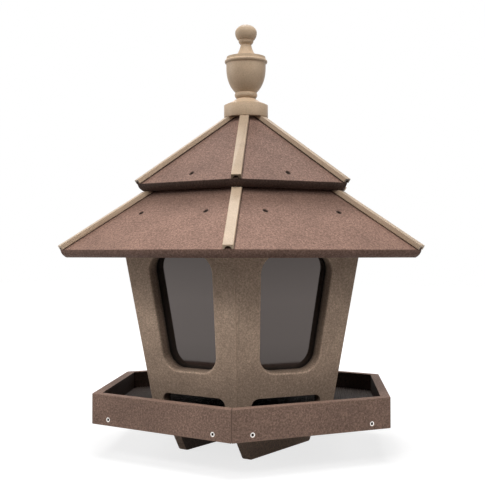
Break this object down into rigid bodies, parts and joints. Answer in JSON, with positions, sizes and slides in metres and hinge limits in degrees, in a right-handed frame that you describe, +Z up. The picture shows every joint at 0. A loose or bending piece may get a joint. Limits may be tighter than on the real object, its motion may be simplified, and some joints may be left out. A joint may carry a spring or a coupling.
{
  "type": "gazebo bird feeder",
  "caption": "Hexagonal gazebo bird feeder: railed tray, leaning windowed hopper with seed slots, tiered hipped roof with a lift-off top and urn finial, and bracket boards for a post.",
  "frame": {"origin": "on the feeder's axis, level with the bottoms of the post brackets", "axes": "+Z up along the axis; the hexagon's flats face +Y and -Y, its corners point along +X and -X, and the bracket boards run along Y"},
  "size_m": [0.5406, 0.4746, 0.6006],
  "materials": {
    "roof_board": "speckled reddish brown recycled plastic board",
    "wall_board": "speckled taupe recycled plastic board",
    "rail_board": "speckled brown recycled plastic board",
    "floor_board": "grey-brown ribbed recycled plastic board",
    "bracket_board": "dark brown recycled plastic board",
    "inner_board": "brown recycled plastic board",
    "tan_trim": "smooth tan recycled plastic",
    "smoked_pane": "smoked clear sheet",
    "screw_steel": "plain steel"
  },
  "bodies": {
    "feeder": {"tray_floor": "floor_board", "tray_rail_1": "rail_board", "tray_rail_2": "rail_board", "tray_rail_3": "rail_board", "tray_rail_4": "rail_board", "tray_rail_5": "rail_board", "tray_rail_6": "rail_board", "tray_screws": "screw_steel", "wall_panel_1": "wall_board", "wall_panel_2": "wall_board", "wall_panel_3": "wall_board", "wall_panel_4": "wall_board", "wall_panel_5": "wall_board", "wall_panel_6": "wall_board", "window_pane_1": "smoked_pane", "window_pane_2": "smoked_pane", "window_pane_3": "smoked_pane", "window_pane_4": "smoked_pane", "window_pane_5": "smoked_pane", "window_pane_6": "smoked_pane", "pane_screws": "screw_steel", "wall_screws": "screw_steel", "bracket_screws": "screw_steel", "lower_roof_panel_1": "roof_board", "lower_roof_panel_2": "roof_board", "lower_roof_panel_3": "roof_board", "lower_roof_panel_4": "roof_board", "lower_roof_panel_5": "roof_board", "lower_roof_panel_6": "roof_board", "lower_hip_strip_1": "tan_trim", "lower_hip_strip_2": "tan_trim", "lower_hip_strip_3": "tan_trim", "lower_hip_strip_4": "tan_trim", "lower_hip_strip_5": "tan_trim", "lower_hip_strip_6": "tan_trim", "lower_roof_screws": "screw_steel", "post_bracket_left": "bracket_board", "post_bracket_right": "bracket_board"},
    "lid": {"lid_base": "inner_board", "lid_plug": "inner_board", "plug_screws": "screw_steel", "peak_block": "inner_board", "upper_roof_panel_1": "roof_board", "upper_roof_panel_2": "roof_board", "upper_roof_panel_3": "roof_board", "upper_roof_panel_4": "roof_board", "upper_roof_panel_5": "roof_board", "upper_roof_panel_6": "roof_board", "upper_hip_strip_1": "tan_trim", "upper_hip_strip_2": "tan_trim", "upper_hip_strip_3": "tan_trim", "upper_hip_strip_4": "tan_trim", "upper_hip_strip_5": "tan_trim", "upper_hip_strip_6": "tan_trim", "upper_roof_screws": "screw_steel", "finial_collar": "tan_trim", "finial": "tan_trim", "finial_bolt": "screw_steel", "finial_washer": "screw_steel", "finial_nut": "screw_steel"}
  },
  "joints": [
    {"name": "lid_lift", "type": "slide", "parent": "feeder", "child": "lid", "axis": [0, 0, 1], "range_m": [0, 0.25]}
  ]
}
